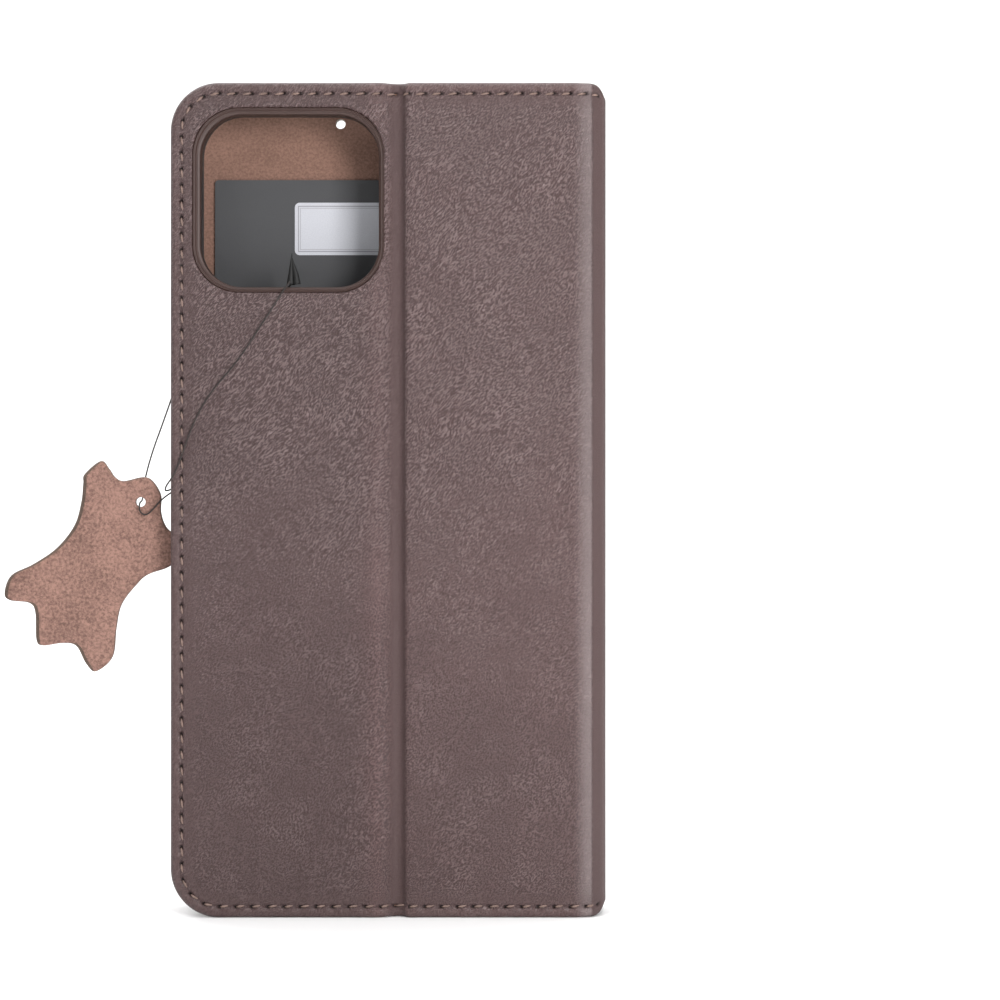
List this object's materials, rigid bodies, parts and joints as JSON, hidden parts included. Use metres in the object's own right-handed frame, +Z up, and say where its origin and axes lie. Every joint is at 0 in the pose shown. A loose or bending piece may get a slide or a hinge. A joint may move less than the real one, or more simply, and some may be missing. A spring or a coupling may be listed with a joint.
{
  "type": "phone wallet case",
  "caption": "Book-type leather wallet case for a phone: snap-in shell, folding back with a stand crease, cover with bill and card pockets, hide-shaped hang tag.",
  "frame": {"origin": "bottom centre of the closed case, standing upright on its short side", "axes": "+Z up along the case's long side, +X from the free edge to the spine, +Y from the back, with the camera opening, to the front cover"},
  "size_m": [0.123, 0.0179, 0.169],
  "materials": {
    "leather": "dark taupe-brown grained leather, semi-matt",
    "stitching": "waxed brown thread",
    "board": "grey-brown fibre board",
    "lining": "brown suede-like microfibre",
    "padding": "thin foam padding",
    "magnet": "nickel-plated disc magnet",
    "adhesive": "double-sided adhesive sheet",
    "shell": "matt soft plastic, dark brown",
    "pocket_leather": "thin split leather, fine grain",
    "insert_card": "matt black card",
    "label": "white paper label",
    "tag_leather": "thick leather, glossy grain on one side and suede on the other",
    "tag_thread": "thin waxed black thread"
  },
  "bodies": {
    "camera_half": {"back_leather_camera_half": "leather", "back_stitching_camera_half": "stitching", "back_board_camera_half": "board", "back_magnets": "magnet", "back_lining_camera_half": "lining", "camera_hole_binding": "leather", "shell_adhesive": "adhesive", "phone_shell": "shell", "thread_knot": "tag_thread", "tag_thread_outer": "tag_thread", "tag_thread_inner": "tag_thread"},
    "volume_up": {"volume_up_button": "shell"},
    "volume_down": {"volume_down_button": "shell"},
    "side_key": {"side_button": "shell"},
    "hinge_half": {"back_leather_hinge_half": "leather", "back_stitching_hinge_half": "stitching", "back_board_hinge_half": "board", "back_lining_hinge_half": "lining", "crease_fold": "leather"},
    "spine": {"spine_leather": "leather", "spine_strip": "board", "spine_lining": "lining", "back_fold_leather": "leather", "front_fold_leather": "leather"},
    "front_cover": {"front_leather": "leather", "front_stitching": "stitching", "front_padding": "padding", "front_board": "board", "front_magnets": "magnet", "front_lining": "lining", "bill_pocket": "pocket_leather", "card_pocket_upper": "pocket_leather", "card_pocket_middle": "pocket_leather", "card_pocket_lower": "pocket_leather"},
    "card": {"insert_card": "insert_card", "card_label": "label"},
    "tag": {"hang_tag": "tag_leather", "tag_thread_loop": "tag_thread"}
  },
  "joints": [
    {"name": "crease_fold_hinge", "type": "hinge", "parent": "camera_half", "child": "hinge_half", "pos_m": [0.0015, -0.0073, 0.0845], "axis": [0, 0, -1], "range_deg": [0, 28]},
    {"name": "back_fold_hinge", "type": "hinge", "parent": "hinge_half", "child": "spine", "pos_m": [0.043, -0.0073, 0.0845], "axis": [0, 0, -1], "range_deg": [0, 175]},
    {"name": "front_fold_hinge", "type": "hinge", "parent": "spine", "child": "front_cover", "pos_m": [0.043, 0.00705, 0.0845], "axis": [0, 0, -1], "range_deg": [0, 175]},
    {"name": "card_slide", "type": "slide", "parent": "front_cover", "child": "card", "axis": [0, 0, 1], "range_m": [0, 0.07]},
    {"name": "volume_up_press", "type": "slide", "parent": "camera_half", "child": "volume_up", "axis": [-1, 0, 0], "range_m": [0, 0.0004], "stiffness_N_per_m": 1500},
    {"name": "volume_down_press", "type": "slide", "parent": "camera_half", "child": "volume_down", "axis": [-1, 0, 0], "range_m": [0, 0.0004], "stiffness_N_per_m": 1500},
    {"name": "side_button_press", "type": "slide", "parent": "camera_half", "child": "side_key", "axis": [1, 0, 0], "range_m": [0, 0.0004], "stiffness_N_per_m": 1500},
    {"name": "tag_swing", "type": "hinge", "parent": "camera_half", "child": "tag", "pos_m": [-0.0444, -0.002, 0.0845], "axis": [0, 0, -1], "range_deg": [-45, 60]}
  ],
  "couplings": [
    {"joint": "crease_fold_hinge", "follows": "front_fold_hinge", "ratio": 0.16}
  ]
}
